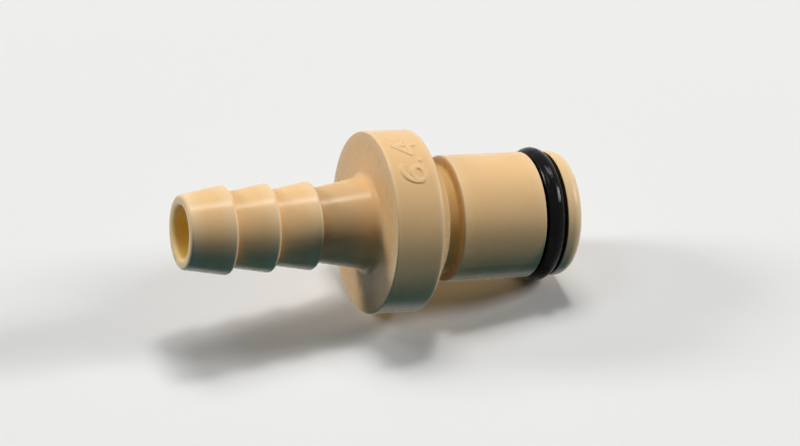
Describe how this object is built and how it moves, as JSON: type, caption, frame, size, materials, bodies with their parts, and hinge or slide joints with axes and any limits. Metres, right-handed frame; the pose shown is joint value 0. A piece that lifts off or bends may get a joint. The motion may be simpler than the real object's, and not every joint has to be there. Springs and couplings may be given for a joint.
{
  "type": "hose barb fitting",
  "caption": "Plastic quick-coupling insert: a round flow bore runs from a barbed hose tail through a wide flange and a latch groove to a smooth spigot with a rubber seal ring near its nose.",
  "frame": {"origin": "centre of the spigot's end face, which is the underside it stands on", "axes": "+Z along the flow axis from the spigot's end face to the barbed tip; +X and +Y are free, as the form is turned"},
  "size_m": [0.0156, 0.0156, 0.0345],
  "materials": {
    "body_plastic": "cream moulded plastic with a soft gloss",
    "seal_rubber": "black lightly greased rubber"
  },
  "bodies": {
    "root": {"insert_body": "body_plastic", "o_ring": "seal_rubber"}
  },
  "joints": []
}
